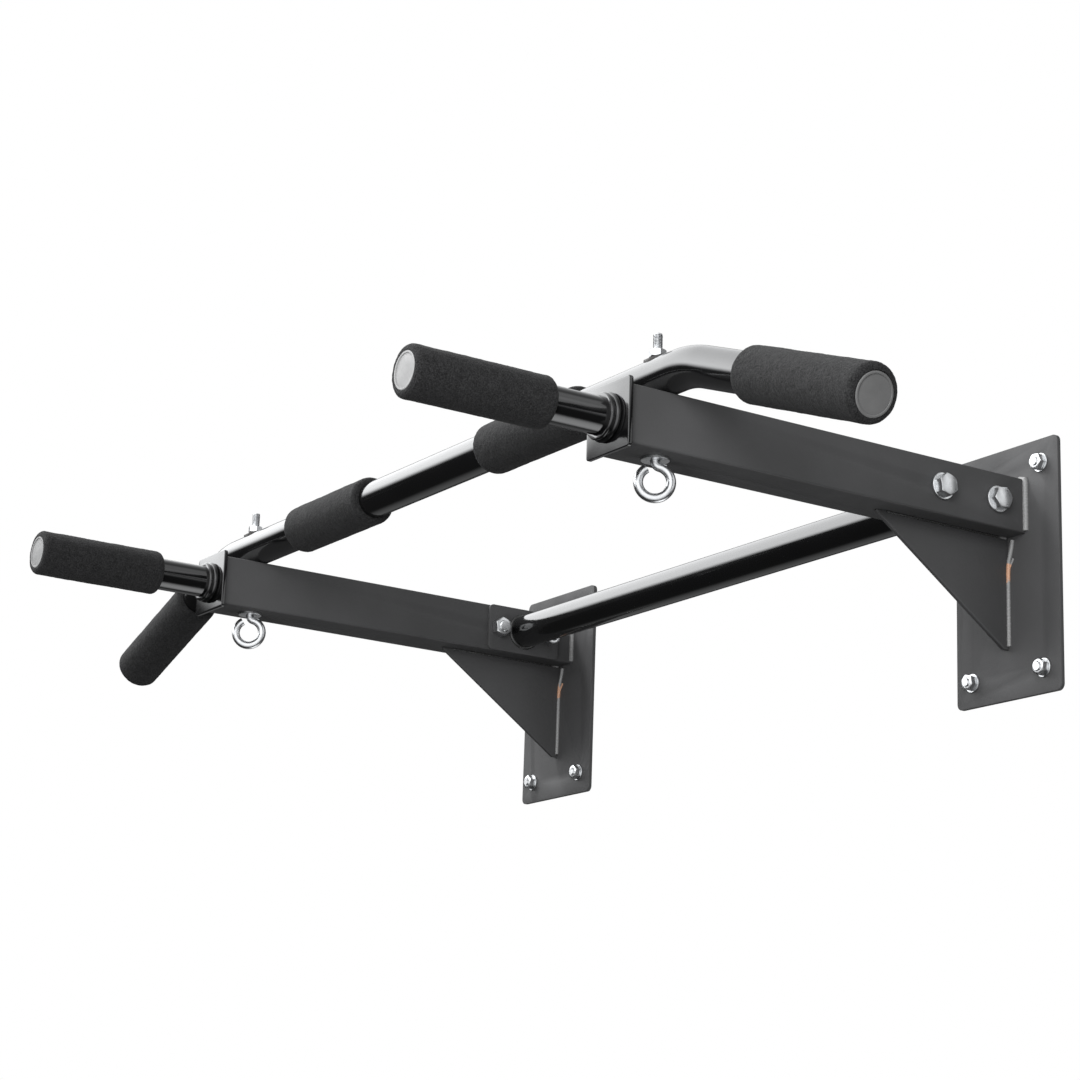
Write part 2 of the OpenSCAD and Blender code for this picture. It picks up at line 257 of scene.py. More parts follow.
# %% Foam
def foam_cells(wire, where):
    def cells(scale):
        return wire.add("ShaderNodeTexVoronoi", {"feature": "F1"},
                        {"Vector": where, "Scale": scale})

    fine, coarse = cells(1300.0), cells(520.0)
    return fine * 0.5 + coarse * 0.3 + noise(wire, where, 240.0, 3.0) * 0.6


def foam_color(wire, where):
    flecks = noise(wire, where, 900.0, 2.0, 0.7) * 0.85 + noise(wire, where, 160.0, 3.0) * 0.15
    return shades(wire, flecks, (0.004, 0.004, 0.0042), (0.022, 0.022, 0.0225), 0.38, 0.66)


foam = finish_of(
    "foam_finish", color=foam_color,
    roughness=lambda w, p: shades(w, noise(w, p, 700.0, 2.0), 0.78, 0.95),
    bump=foam_cells, bump_height=0.0006,
    Specular_IOR_Level=0.2, Sheen_Weight=0.03, Sheen_Roughness=0.5)
print(foam.name, "nodes:", len(foam.node_tree.nodes))

# %% [markdown]
# ### Moulded plastic and black oxide
#
# The end plugs are moulded, with a very fine sparked texture. The saddle washers have a dull black
# oxide that lets brown through here and there.

# %% Plastic plugs and oxide
def plastic(name, dark, light):
    return finish_of(
        name, color=lambda w, p: shades(w, noise(w, p, 60.0, 2.0), (dark,) * 3, (light,) * 3),
        roughness=lambda w, p: shades(w, noise(w, p, 160.0, 2.0), 0.42, 0.56),
        bump=lambda w, p: noise(w, p, 2200.0, 1.0), bump_height=0.00005, Specular_IOR_Level=0.5)


bar_plug = plastic("bar_plug_finish", 0.075, 0.09)
handle_plug = plastic("handle_plug_finish", 0.16, 0.19)
oxide = finish_of(
    "oxide_finish",
    color=lambda w, p: shades(w, noise(w, p, 380.0, 4.0),
                              (0.014, 0.014, 0.015), (0.034, 0.030, 0.027)),
    roughness=lambda w, p: shades(w, noise(w, p, 300.0, 2.0), 0.30, 0.48),
    bump=lambda w, p: noise(w, p, 1500.0, 2.0), bump_height=0.00006)
print(bar_plug.name, handle_plug.name, oxide.name)

# %% [markdown]
# ### Painted weld
#
# A weld is painted with the rest, but it is glossier. Against the wall plate the bead's colour is
# made pale, a painted highlight, with the copper-brown of one burnt spot. The burn mask is a band
# of height with a noise edge.

# %% Weld finish
def weld_color(wire, where):
    def part(axis):
        return wire.add("ShaderNodeSeparateXYZ", None, {"Vector": where}, out=axis)

    height = part("Z")
    near = 1 - wire.math("ABSOLUTE", height - 0.002) * 80
    burnt = shades(wire, near * 0.5 + noise(wire, where, 90.0, 2.0), 0.0, 1.0, 0.72, 0.80)
    # Paler towards the wall plate: a painted highlight on the seams there.
    depth = part("Y")
    painted_highlight = shades(wire, depth * 50 + 1 + noise(wire, where, 220.0, 2.0) * 0.3,
                  (0.02, 0.02, 0.02), (0.15, 0.15, 0.15), 0.3, 0.7)
    return wire.add("ShaderNodeMix", {"data_type": "RGBA"},
                    {"Factor": burnt, 6: painted_highlight, 7: (0.34, 0.19, 0.12, 1)}, out=2)


weld = finish_of(
    "weld_finish", color=weld_color,
    roughness=lambda w, p: shades(w, noise(w, p, 500.0, 3.0), 0.15, 0.35),
    bump=lambda w, p: noise(w, p, 900.0, 2.0), bump_height=0.0001, Specular_IOR_Level=0.7)
print(weld.name)

# %% [markdown]
# ## Making and placing a piece
#
# Each new piece is a mesh whose points already stand where the piece belongs, so its object stays
# at the origin. `put` links it, gives it its finish, lets it ride on the CAD body of the node that
# it stands for, and hides that node. Smooth shading with sharp edges past 35 degrees keeps round
# things round and corners crisp.

# %% Helpers for pieces
bodies = frame["record"]["behaviour"]["bodies"]
body_of_node = {n: body for body, names in bodies.items() for n in names}


def put(mesh, name, node, material):
    """Shows mesh instead of a CAD node, on that node's body."""
    mesh.name = name
    mesh.materials.clear()
    mesh.materials.append(material)
    for polygon in mesh.polygons:
        polygon.material_index = 0
    mesh.shade_smooth()
    mesh.set_sharp_from_angle(angle=math.radians(35))
    piece = bpy.data.objects.new(name, mesh)
    bpy.context.scene.collection.objects.link(piece)
    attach(piece, body_of_node[node])
    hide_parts(node)
    return piece


def middle(node):
    low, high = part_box(node)
    return (low + high) / 2


def size(node):
    low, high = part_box(node)
    return high - low


MERGE = 1e-7


@contextmanager
def edited(mesh, merge=MERGE):
    """Opens a mesh for editing, with points closer than merge made one, and writes it back."""
    work = bmesh.new()
    work.from_mesh(mesh)
    bmesh.ops.remove_doubles(work, verts=work.verts, dist=merge)
    yield work
    work.to_mesh(mesh)
    work.free()


def mesh_from(points, faces):
    """A mesh from points and faces, with its faces turned outwards."""
    mesh = bpy.data.meshes.new("mesh")
    mesh.from_pydata([tuple(p) for p in points], [], faces)
    with edited(mesh) as work:
        bmesh.ops.recalc_face_normals(work, faces=work.faces)
    return mesh


def modified(mesh, kind, **settings):
    """A mesh with one modifier applied."""
    carrier = bpy.data.objects.new("carrier", mesh)
    bpy.context.scene.collection.objects.link(carrier)
    modifier = carrier.modifiers.new("modifier", kind)
    for name, value in settings.items():
        setattr(modifier, name, value)
    graph = bpy.context.evaluated_depsgraph_get()
    result = bpy.data.meshes.new_from_object(carrier.evaluated_get(graph), depsgraph=graph)
    bpy.data.objects.remove(carrier)
    return result


print("bodies:", sorted(set(body_of_node.values())))

# %% [markdown]
# ## Growing a mesh with Geometry Nodes
#
# A tree works on a carrier object: the carrier holds the starting mesh and the modifier, and its
# evaluated result is copied into a plain mesh. Then the carrier goes. Inputs are set by the
# socket's identifier before anything is evaluated.

# %% Helpers for Geometry Nodes
def new_tree(name, **inputs):
    """A geometry tree with a Geometry input and output and named inputs. Returns its wires."""
    tree = bpy.data.node_groups.new(name, "GeometryNodeTree")
    tree.interface.new_socket("Geometry", in_out="INPUT", socket_type="NodeSocketGeometry")
    for label, kind in inputs.items():
        tree.interface.new_socket(label, in_out="INPUT", socket_type="NodeSocket" + kind)
    tree.interface.new_socket("Geometry", in_out="OUTPUT", socket_type="NodeSocketGeometry")
    source = tree.nodes.new("NodeGroupInput")
    wires = {label: Wire(tree, source.outputs[label]) for label in ["Geometry", *inputs]}
    return tree, wires


def end_tree(tree, result, material):
    """Realizes instances, sets the material and connects the output."""
    real = result.add("GeometryNodeRealizeInstances", None, {"Geometry": result})
    dressed = real.add("GeometryNodeSetMaterial", None, {"Geometry": real, "Material": material})
    sink = tree.nodes.new("NodeGroupOutput")
    tree.links.new(dressed.socket, sink.inputs["Geometry"])


def grow(tree, start, **values):
    """Runs a tree on a starting mesh and returns the result as a plain mesh."""
    carrier = bpy.data.objects.new("carrier", start)
    bpy.context.scene.collection.objects.link(carrier)
    modifier = carrier.modifiers.new("grow", "NODES")
    modifier.node_group = tree
    for item in tree.interface.items_tree:
        if item.item_type == "SOCKET" and item.in_out == "INPUT" and item.name in values:
            modifier[item.identifier] = values[item.name]
    graph = bpy.context.evaluated_depsgraph_get()
    mesh = bpy.data.meshes.new_from_object(carrier.evaluated_get(graph), depsgraph=graph)
    carrier.modifiers.remove(modifier)
    bpy.data.objects.remove(carrier)
    return mesh


def line_mesh(points, closed=False):
    """A chain of edges through points, for a tree to follow."""
    mesh = bpy.data.meshes.new("line")
    count = len(points)
    edges = [(i, (i + 1) % count) for i in range(count if closed else count - 1)]
    mesh.from_pydata([tuple(p) for p in points], edges, [])
    return mesh


print("geometry helpers are ready")

# %% [markdown]
# ## Tubes
#
# The main bar is one tube: straight, then a bend at each side, then straight down to the ends. A
# bent tube is a circle swept along a line, which is what Curve to Mesh does. The tree makes only
# the outer skin, with open ends. A Solidify modifier then gives it the 2 mm wall, so the mesh is a
# real tube that can be looked into. The bolt holes lie under the washers and are left out.

# %% The sweep tree
TUBE_SIDES = 72
TUBE_WALL = 0.002
sweep, w = new_tree("sweep_tube", Radius="Float", Sides="Int", Material="Material")
path = w["Geometry"].add("GeometryNodeMeshToCurve", None, {"Mesh": w["Geometry"]})
ring = path.add("GeometryNodeCurvePrimitiveCircle", None,
                {"Resolution": w["Sides"], "Radius": w["Radius"]})
skin = path.add("GeometryNodeCurveToMesh", None, {"Curve": path, "Profile Curve": ring})
end_tree(sweep, skin, w["Material"])


def tube(name, node, points, radius, material):
    """A hollow round tube along points, instead of a CAD node."""
    mesh = grow(sweep, line_mesh(points), Radius=radius, Sides=TUBE_SIDES, Material=material)
    with edited(mesh) as work:
        bmesh.ops.recalc_face_normals(work, faces=work.faces)
        centre = sum((v.co for v in work.verts[:TUBE_SIDES]), Vector()) / TUBE_SIDES
        first = min(work.faces, key=lambda f: (f.calc_center_median() - centre).length)
        if first.normal.dot(first.calc_center_median() - centre) < 0:
            bmesh.ops.reverse_faces(work, faces=work.faces)
    solid = modified(mesh, "SOLIDIFY", thickness=TUBE_WALL, offset=-1, use_even_offset=True)
    return put(solid, name, node, material)


# %% [markdown]
# The bar's centre line is worked out from four numbers: half of the straight middle, the bend
# radius, the droop angle and the straight length of an end.

# %% Main bar, crossbar and handle tubes
BAR_STRAIGHT, BEND_RADIUS, DROOP, END_STRAIGHT = 0.390, 0.110, math.radians(20), 0.216
BEND_STEPS = 24
bar_low, bar_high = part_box("main_bar")
bar_radius = (bar_high.y - bar_low.y) / 2
bar_y, bar_z = (bar_high.y + bar_low.y) / 2, bar_high.z - bar_radius


def bar_half():
    """The centre line from the start of the right bend to the right end."""
    for step in range(BEND_STEPS + 1):
        turn = DROOP * step / BEND_STEPS
        bend = Vector((BAR_STRAIGHT + BEND_RADIUS * math.sin(turn), bar_y,
                       bar_z - BEND_RADIUS * (1 - math.cos(turn))))
        yield bend
    yield bend + Vector((math.cos(DROOP), 0, -math.sin(DROOP))) * END_STRAIGHT


right_half = list(bar_half())
left_half = [Vector((-p.x, p.y, p.z)) for p in reversed(right_half)]
bar_tube = tube("bar_tube", "main_bar", left_half + right_half, bar_radius, gloss_coat)

cross_low, cross_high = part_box("crossbar_tube")
cross_mid = (cross_low + cross_high) / 2
tube("cross_tube", "crossbar_tube",
     [Vector((x, cross_mid.y, cross_mid.z)) for x in (cross_low.x, cross_high.x)],
     (cross_high.z - cross_low.z) / 2, gloss_coat)
for side in SIDES:
    low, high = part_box(f"handle_tube_{side}")
    mid = (low + high) / 2
    tube(f"handle_bar_{side}", f"handle_tube_{side}",
         [Vector((mid.x, y, mid.z)) for y in (high.y, low.y)], (high.z - low.z) / 2, gloss_coat)
print("bar radius", round(bar_radius, 4), "triangles in the bar", len(bar_tube.data.polygons) * 2)

# %% [markdown]
# ## Plates, arms and gussets with softened edges
#
# Cut plate never has a perfect edge, and powder coat rounds it further. That narrow rounding is
# what catches the light and draws the outline of a dark plate. The CAD mesh is loose triangles,
# so a copy is welded together, its flat faces are joined, and a Bevel modifier rounds the edges.

# %% Softened copies of CAD nodes
CAD_MERGE = 2e-6


def softened(name, node, material, width):
    """A copy of a CAD node with its sharp edges rounded."""
    mesh = frame["nodes"][node].data.copy()
    with edited(mesh, CAD_MERGE) as work:
        bmesh.ops.dissolve_limit(work, angle_limit=math.radians(0.5),
                                 verts=work.verts, edges=work.edges)
    soft = modified(mesh, "BEVEL", width=width, segments=3, limit_method="ANGLE",
                    angle_limit=math.radians(40))
    return put(soft, name, node, material)


for side in SIDES:
    softened(f"plate_{side}", f"wall_plate_{side}", satin_coat, 0.0008)
    softened(f"arm_tube_{side}", f"arm_{side}", satin_coat, 0.0006)
    softened(f"gusset_plate_{side}", f"gusset_{side}", satin_coat, 0.0006)
    softened(f"flange_{side}", f"crossbar_flange_{side}", satin_coat, 0.0006)
    softened(f"handle_foot_{side}", f"handle_plate_{side}", gloss_coat, 0.0008)
    softened(f"collar_{side}", f"handle_collar_{side}", gloss_coat, 0.0002)
    softened(f"saddle_{side}", f"saddle_washer_{side}", oxide, 0.0002)
print("plates done")

# %% [markdown]
# ## Turned shapes
#
# Plugs, washers and grips are all turned: an outline of (radius, height) points spun about an
# axis. `turned` makes the mesh about +Z and then swings it onto the wanted axis.

# %% A helper that turns an outline
def turned(outline, sides, origin, axis):
    """Spins a closed outline of (radius, height) about an axis that starts at origin."""
    swing = Vector((0, 0, 1)).rotation_difference(axis).to_matrix().to_4x4()
    place = Matrix.Translation(origin) @ swing
    points, faces = [], []
    count = len(outline)
    for i in range(sides):
        turn = 2 * math.pi * i / sides
        points += [place @ Vector((r * math.cos(turn), r * math.sin(turn), h))
                   for r, h in outline]
    for i in range(sides):
        j = (i + 1) % sides
        for k in range(count):
            m = (k + 1) % count
            if outline[k][0] < 1e-9 and outline[m][0] < 1e-9:
                continue
            faces.append((i * count + k, j * count + k, j * count + m, i * count + m))
    return mesh_from(points, faces)


def corner(center_r, center_h, radius, start, end, steps=6):
    """Points of an arc in an outline, with angles in degrees from the radial direction."""
    for step in range(steps + 1):
        turn = math.radians(start + (end - start) * step / steps)
        yield center_r + radius * math.cos(turn), center_h + radius * math.sin(turn)


print("turned() is ready")

# %% [markdown]
# ## End plugs
#
# A plug is a moulded cap: a thin rim that just covers the tube's cut edge, a shallow step inside
# it, and a slightly domed middle. The step gives the pale ring that makes it read as a cap.

# %% End plugs
ROUND_SIDES = 64
PLUG_STEM, PLUG_RIM = 0.018, 0.004


def plug(name, node, outward, material):
    """The cap's outer face looks along outward, and its stem reaches back into the tube."""
    center = middle(node)
    radius = size(node).y / 2 if abs(outward.y) < 0.5 else size(node).x / 2
    length = PLUG_STEM + PLUG_RIM
    tip = center + outward * (length / 2)
    rim, step, edge = radius - 0.0022, 0.0007, 0.0008
    stem = radius - TUBE_WALL
    outline = [(0.0, -length), (stem, -length), (stem, -PLUG_RIM), (radius, -PLUG_RIM)]
    outline += list(corner(radius - edge, -edge, edge, 0, 90, 4))
    outline += list(corner(rim + 0.0003, -0.0003, 0.0003, 90, 180, 3))
    outline += [(rim, -step)]
    outline += [(rim * (1 - k / 8), -step + 0.0004 * (1 - (1 - k / 8) ** 2)) for k in range(1, 9)]
    return put(turned(outline, ROUND_SIDES, tip, outward), name, node, material)


for side, sign in SIDES.items():
    down = Vector((sign * math.cos(DROOP), 0, -math.sin(DROOP)))
    plug(f"bar_cap_{side}", f"bar_end_plug_{side}", down, bar_plug)
    plug(f"handle_cap_{side}", f"handle_plug_{side}", Vector((0, -1, 0)), handle_plug)
print("plugs done")

# %% [markdown]
# ## Foam grips
#
# A grip is a thick sleeve of foam pushed over its tube. Its outline is turned with points about a
# millimetre apart, which leaves enough points for a real surface: a Geometry Nodes tree pushes
# each point along its normal by two sizes of noise, so the skin is slightly lumpy as cut foam is.
# Points that touch the tube stay where they are.

# %% The foam tree
lumps, w = new_tree("foam_lumps", Height="Float", Grain="Float", Seed="Float",
                    Material="Material")
shape = w["Geometry"]
spot = shape.add("GeometryNodeInputPosition")
normal = shape.add("GeometryNodeInputNormal")
big = shape.add("ShaderNodeTexNoise", {"noise_dimensions": "4D"},
                {"Vector": spot, "W": w["Seed"], "Scale": 70.0, "Detail": 2.0})
small = shape.add("ShaderNodeTexNoise", {"noise_dimensions": "4D"},
                  {"Vector": spot, "W": w["Seed"], "Scale": 420.0, "Detail": 2.0})
push = (big - 0.5) * w["Height"] + (small - 0.5) * w["Grain"]
outer = shape.add("GeometryNodeInputNamedAttribute", {"data_type": "FLOAT"}, {"Name": "outer"})
offset = shape.add("ShaderNodeVectorMath", {"operation": "SCALE"},
                   {0: normal, "Scale": push * outer})
rough_skin = shape.add("GeometryNodeSetPosition", None, {"Geometry": shape, "Offset": offset})
end_tree(lumps, rough_skin, w["Material"])
print("foam tree nodes:", len(lumps.nodes))

# %% [markdown]
# The outline of a sleeve: up the bore, round the outer edges with a 5 mm radius, and along the
# outside. `spaced` fills a straight stretch with points.

# %% Foam grips
FOAM_ROUNDING, FOAM_STEP, FACE_STEP, FOAM_SIDES = 0.005, 0.0011, 0.0008, 150
FOAM_LUMPS, FOAM_GRAIN, FOAM_FIXED, FOAM_WALL = 0.0011, 0.0007, 0.002, 0.006
END_GRIP = 0.155


def spaced(start, end, step):
    count = max(1, round(math.dist(start, end) / step))
    return [tuple(a + (b - a) * i / count for a, b in zip(start, end)) for i in range(count)]


def grip(name, node, axis, length, bore, outside, seed):
    """A foam sleeve centred on its CAD node."""
    start = middle(node) - axis * (length / 2)
    r = FOAM_ROUNDING
    outline = [(bore, length), (bore, 0.0)]
    outline += spaced((bore + 0.0003, 0.0), (outside - r, 0.0), FACE_STEP)
    outline += list(corner(outside - r, r, r, -90, 0, 7))[:-1]
    outline += spaced((outside, r), (outside, length - r), FOAM_STEP)
    outline += list(corner(outside - r, length - r, r, 0, 90, 7))
    outline += spaced((outside - r - 0.0004, length), (bore, length), FACE_STEP)
    mesh = turned(outline, FOAM_SIDES, start, axis)
    outer_layer = mesh.attributes.new("outer", "FLOAT", "POINT")
    for point, value in zip(mesh.vertices, outer_layer.data):
        away_from_axis = point.co - start
        reach = (away_from_axis - axis * away_from_axis.dot(axis)).length
        value.value = min(1.0, max(0.0, (reach - bore) / FOAM_FIXED))
    mesh = grow(lumps, mesh, Height=FOAM_LUMPS, Grain=FOAM_GRAIN, Seed=seed, Material=foam)
    mesh.attributes.remove(mesh.attributes["outer"])
    piece = put(mesh, name, node, foam)
    return piece


handle_bore = size("handle_tube_right").z / 2
for side, sign in SIDES.items():
    down = Vector((sign * math.cos(DROOP), 0, -math.sin(DROOP)))
    grip(f"foam_center_{side}", f"center_grip_{side}", Vector((1, 0, 0)),
         size(f"center_grip_{side}").x, bar_radius, bar_radius + FOAM_WALL, 3.1 + sign)
    grip(f"foam_end_{side}", f"end_grip_{side}", down,
         END_GRIP, bar_radius, bar_radius + FOAM_WALL, 7.4 + sign)
    made = grip(f"foam_handle_{side}", f"handle_grip_{side}", Vector((0, -1, 0)),
                size(f"handle_grip_{side}").y, handle_bore, handle_bore + FOAM_WALL, 12.8 + sign)
print("faces in one grip:", len(made.data.polygons))

# %% [markdown]
# ## Nuts, washers and bolt heads
#
# A nut is a hexagon whose corners were turned off on a lathe, so each flat ends in a curved
# chamfer line. The outline is worked out every 5 degrees: the hexagon's reach at that angle, and
# the height where a 30 degree cone cuts it.

# %% Hexagon shapes
UP = Vector((0, 0, 1))
M8 = {"af": 0.013, "nut": 0.0065, "bore": 0.00405, "radius": 0.004,
      "washer": 0.0085, "washer_t": 0.0016, "washer_bore": 0.00425}
M12 = {"af": 0.018, "head": 0.0075, "nut": 0.010, "bore": 0.00605, "radius": 0.006,
       "washer": 0.012, "washer_t": 0.0025, "washer_bore": 0.00625}
HEX_POINTS = 72


def hexagon(across_flats, height, bore, chamfer_below=True):
    """A nut, or with bore 0 a bolt head, standing on the origin along +Z."""
    turns = [math.radians(5 * i) for i in range(HEX_POINTS)]
    inner = across_flats * 0.475
    rings = []

    def ring(radii, heights):
        rings.append([Vector((r * math.cos(t), r * math.sin(t), h))
                      for t, r, h in zip(turns, radii, heights)])

    reach = [across_flats / 2 / math.cos((t + math.pi / 6) % (math.pi / 3) - math.pi / 6)
             for t in turns]
    drop = [(r - inner) * math.tan(math.radians(30)) for r in reach]
    flat = [0.0] * HEX_POINTS
    top = [height] * HEX_POINTS
    hole = bore if bore else 0.0
    rise = 0.0004 if bore else 0.0
    ring([hole + rise] * HEX_POINTS, top)
    ring([inner] * HEX_POINTS, top)
    ring(reach, [height - d for d in drop])
    ring(reach, drop if chamfer_below else flat)
    ring([inner] * HEX_POINTS, flat)
    ring([hole + rise] * HEX_POINTS, flat)
    if bore:
        ring([hole] * HEX_POINTS, [rise] * HEX_POINTS)
        ring([hole] * HEX_POINTS, [height - rise] * HEX_POINTS)
    points = [p for r in rings for p in r]
    count = len(rings)
    faces = []
    for k in range(count if bore else count - 1):
        m = (k + 1) % count
        for i in range(HEX_POINTS):
            j = (i + 1) % HEX_POINTS
            below, above = k * HEX_POINTS, m * HEX_POINTS
            faces.append((below + i, below + j, above + j, above + i))
    return mesh_from(points, faces)


def washer(outside, bore, thickness, edge=0.0002):
    """A flat washer with broken edges, standing on the origin along +Z."""
    outline = [(bore + edge, 0), (outside - edge, 0), (outside, edge),
               (outside, thickness - edge), (outside - edge, thickness),
               (bore + edge, thickness), (bore, thickness - edge), (bore, edge)]
    return turned(outline, ROUND_SIDES, Vector(), UP)


print("a nut has", len(hexagon(M8["af"], M8["nut"], M8["bore"]).polygons), "faces")

# %% [markdown]
# ## Threads
#
# A thread is a ridge that climbs by one pitch in every turn. On a plain cylinder made of many
# rings, each point's height and angle say where it stands between two crests, and a triangle wave
# of that pushes it in or out. The tree takes the radius, the pitch and the depth.

# %% The thread tree
thread, w = new_tree("thread", Radius="Float", Length="Float", Pitch="Float", Depth="Float",
                     Rings="Int", Material="Material")
rod = w["Radius"].add("GeometryNodeMeshCylinder", {"fill_type": "NGON"},
                      {"Vertices": 32, "Side Segments": w["Rings"], "Radius": w["Radius"],
                       "Depth": w["Length"]})
spot = rod.add("GeometryNodeInputPosition")
axes = spot.add("ShaderNodeSeparateXYZ", None, {"Vector": spot})
x, y, z = (Wire(thread, axes.socket.node.outputs[k]) for k in "XYZ")
turn = rod.math("ARCTAN2", y, x) * (1 / (2 * math.pi))
phase = rod.math("DIVIDE", z, w["Pitch"]) + turn
wave = rod.math("PINGPONG", phase, 0.5) * 2
ends = rod.math("SUBTRACT", w["Length"] * 0.5, rod.math("ABSOLUTE", z))
fade = rod.math("MINIMUM", rod.math("DIVIDE", ends, w["Pitch"]), 1.0)
shrink = (1 - wave * fade) * w["Depth"]
scale = 1 - rod.math("DIVIDE", shrink, w["Radius"])
moved = rod.add("ShaderNodeCombineXYZ", None, {"X": x * scale, "Y": y * scale, "Z": z})
threaded = rod.add("GeometryNodeSetPosition", None, {"Geometry": rod, "Position": moved})
end_tree(thread, threaded, w["Material"])


def threaded_rod(radius, length, pitch):
    """A threaded rod from the origin up +Z."""
    mesh = grow(thread, bpy.data.meshes.new("empty"), Radius=radius, Length=length, Pitch=pitch,
                Depth=pitch * 0.42, Rings=round(length / pitch * 8), Material=zinc)
    mesh.transform(Matrix.Translation((0, 0, length / 2)))
    return mesh


M8_PITCH, M12_PITCH = 0.00125, 0.00175
print("faces in a 27 mm M8 rod:", len(threaded_rod(M8["radius"], 0.027, M8_PITCH).polygons))

# %% [markdown]
# ## Rows of fasteners
#
# The same nut sits at four corners of a plate, so it is modelled once and instanced on points.
# Each copy gets its own turn about its axis from a seeded random value, because no two nuts ever
# stop at the same angle. The points carry no direction, so the tree also gets the axis.

# %% The fastener tree
fasten, w = new_tree("fasten", Part="Object", Tilt="Vector", Turn="Float", Seed="Int",
                     Material="Material")
part = w["Part"].add("GeometryNodeObjectInfo", {"transform_space": "ORIGINAL"},
                     {"Object": w["Part"]}, out="Geometry")
spin = part.add("FunctionNodeRandomValue", {"data_type": "FLOAT"},
                {2: 0.0, 3: w["Turn"], "Seed": w["Seed"]}, out=1)
about_z = part.add("ShaderNodeCombineXYZ", None, {"Z": spin})
turned_part = part.add("GeometryNodeInstanceOnPoints", None,
                       {"Points": w["Geometry"], "Instance": part, "Rotation": w["Tilt"]})
placed = part.add("GeometryNodeRotateInstances", None,
                  {"Instances": turned_part, "Rotation": about_z, "Local Space": True})
end_tree(fasten, placed, w["Material"])


def fasteners(name, node, mesh, spots, axis, turn, seed):
    """Copies of one fastener at spots, along axis, each turned by up to `turn` radians."""
    part_object = bpy.data.objects.new("fastener", mesh)
    bpy.context.scene.collection.objects.link(part_object)
    tilt = UP.rotation_difference(axis).to_euler()
    points = bpy.data.meshes.new("spots")
    points.from_pydata([tuple(p) for p in spots], [], [])
    grown = grow(fasten, points, Part=part_object, Tilt=tuple(tilt), Turn=turn, Seed=seed,
                 Material=zinc)
    bpy.data.objects.remove(part_object)
    return put(grown, name, node, zinc)


print("fastener tree nodes:", len(fasten.nodes))

# %% [markdown]
# The wall studs' middles follow from their CAD boxes. A stud's back end stands behind the plate,
# where the anchor would go on into the wall.

# %% Wall studs, washers and nuts
OUTWARD = Vector((0, -1, 0))
ANY_TURN, SMALL_TURN, NO_TURN = 6.28, 1.0, 0.0
for side in SIDES:
    low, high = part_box(f"wall_studs_{side}")
    inset = M8["radius"]
    plate_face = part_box(f"wall_plate_{side}")[0].y
    grid = [(x, z) for x in (low.x + inset, high.x - inset)
            for z in (low.z + inset, high.z - inset)]
    fasteners(f"studs_{side}", f"wall_studs_{side}",
              threaded_rod(M8["radius"], high.y - low.y, M8_PITCH),
              [(x, high.y, z) for x, z in grid], OUTWARD, ANY_TURN, 5)
    fasteners(f"washers_{side}", f"wall_washers_{side}",
              washer(M8["washer"], M8["washer_bore"], M8["washer_t"]),
              [(x, plate_face, z) for x, z in grid], OUTWARD, NO_TURN, 1)
    fasteners(f"nuts_{side}", f"wall_nuts_{side}", hexagon(M8["af"], M8["nut"], M8["bore"]),
              [(x, plate_face - M8["washer_t"], z) for x, z in grid],
              OUTWARD, SMALL_TURN, 3 if side == "left" else 8)
print("wall fasteners done")

# %% [markdown]
# The crossbar's bolts are bigger, M12. The head and its thick washer sit on the arm's outer face,
# and the nut on the flange inside. Head and shank are one piece, so their meshes are joined.

# %% Crossbar bolts
def joined(*meshes):
    """One mesh from several closed ones."""
    work = bmesh.new()
    for mesh in meshes:
        work.from_mesh(mesh)
    result = bpy.data.meshes.new("joined")
    work.to_mesh(result)
    work.free()
    return result


for side, sign in SIDES.items():
    low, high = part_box(f"crossbar_washers_{side}")
    spots = [(y, (low.z + high.z) / 2) for y in (low.y + M12["washer"], high.y - M12["washer"])]
    arm_face = low.x if sign > 0 else high.x
    head_face = high.x if sign > 0 else low.x
    out = Vector((sign, 0, 0))
    bolt_low, bolt_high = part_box(f"crossbar_bolts_{side}")
    reach = bolt_high.x - bolt_low.x - M12["head"]
    shank = threaded_rod(M12["radius"], reach + 0.001, M12_PITCH)
    shank.transform(Matrix.Translation((0, 0, -reach)))
    bolt = joined(hexagon(M12["af"], M12["head"], 0, False), shank)
    fasteners(f"bolts_{side}", f"crossbar_bolts_{side}", bolt,
              [(head_face, y, z) for y, z in spots], out, SMALL_TURN, 4)
    fasteners(f"bolt_washers_{side}", f"crossbar_washers_{side}",
              washer(M12["washer"], M12["washer_bore"], M12["washer_t"], 0.0004),
              [(arm_face, y, z) for y, z in spots], out, NO_TURN, 1)
    nut_low, nut_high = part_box(f"crossbar_nuts_{side}")
    nut_face = nut_high.x if sign > 0 else nut_low.x
    fasteners(f"bolt_nuts_{side}", f"crossbar_nuts_{side}",
              hexagon(M12["af"], M12["nut"], M12["bore"]),
              [(nut_face, y, z) for y, z in spots], -out, SMALL_TURN, 6)
print("crossbar fasteners done")

# %% [markdown]
# ## Eye bolts
#
# An eye bolt is one wire: it comes down straight, bends out at the neck, runs round the eye and
# stops beside its own neck. The line is two arcs and a straight stretch. The same sweep tree
# makes the wire, with its ends closed, and a threaded rod continues it from inside the arm to the
# top. The neck bend touches the loop where both have the same direction.

# %% Eye bolts
EYE_RADIUS, NECK_RADIUS, WIRE, EYE_TURN = 0.0135, 0.005, 0.004, math.radians(57)
FREE_END = math.radians(30)


